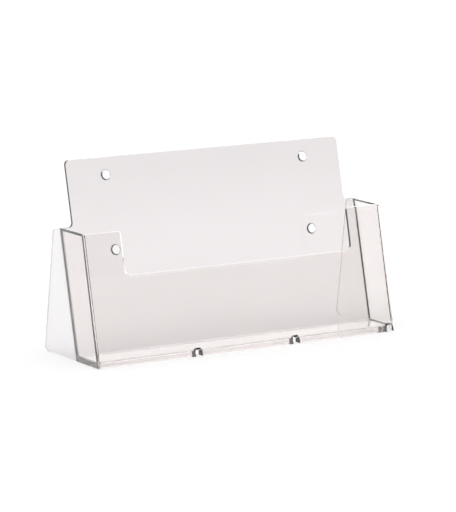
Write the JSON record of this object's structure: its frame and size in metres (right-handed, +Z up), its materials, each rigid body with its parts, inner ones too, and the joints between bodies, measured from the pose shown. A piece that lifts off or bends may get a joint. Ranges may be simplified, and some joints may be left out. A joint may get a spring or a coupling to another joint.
{
  "type": "leaflet holder",
  "caption": "Clear plastic landscape leaflet holder: a leaning open pocket with a cut-out front, a tall back with screw holes and two stand wings.",
  "frame": {"origin": "on the standing surface, under the middle of the holder's bounding box", "axes": "+X to the right along the pocket's length, +Y from the open front to the back, +Z up"},
  "size_m": [0.305, 0.0935, 0.167],
  "materials": {
    "clear_back": "clear, polished, faint warm tint",
    "clear_front": "clear, polished, faint warm tint",
    "clear_floor": "clear, polished, faint warm tint",
    "clear_end": "clear, polished",
    "clear_wing": "clear, polished"
  },
  "bodies": {
    "root": {"back_panel": "clear_back", "front_panel": "clear_front", "floor_panel": "clear_floor", "left_end_wall": "clear_end", "right_end_wall": "clear_end", "left_stand_wing": "clear_wing", "right_stand_wing": "clear_wing"}
  },
  "joints": []
}
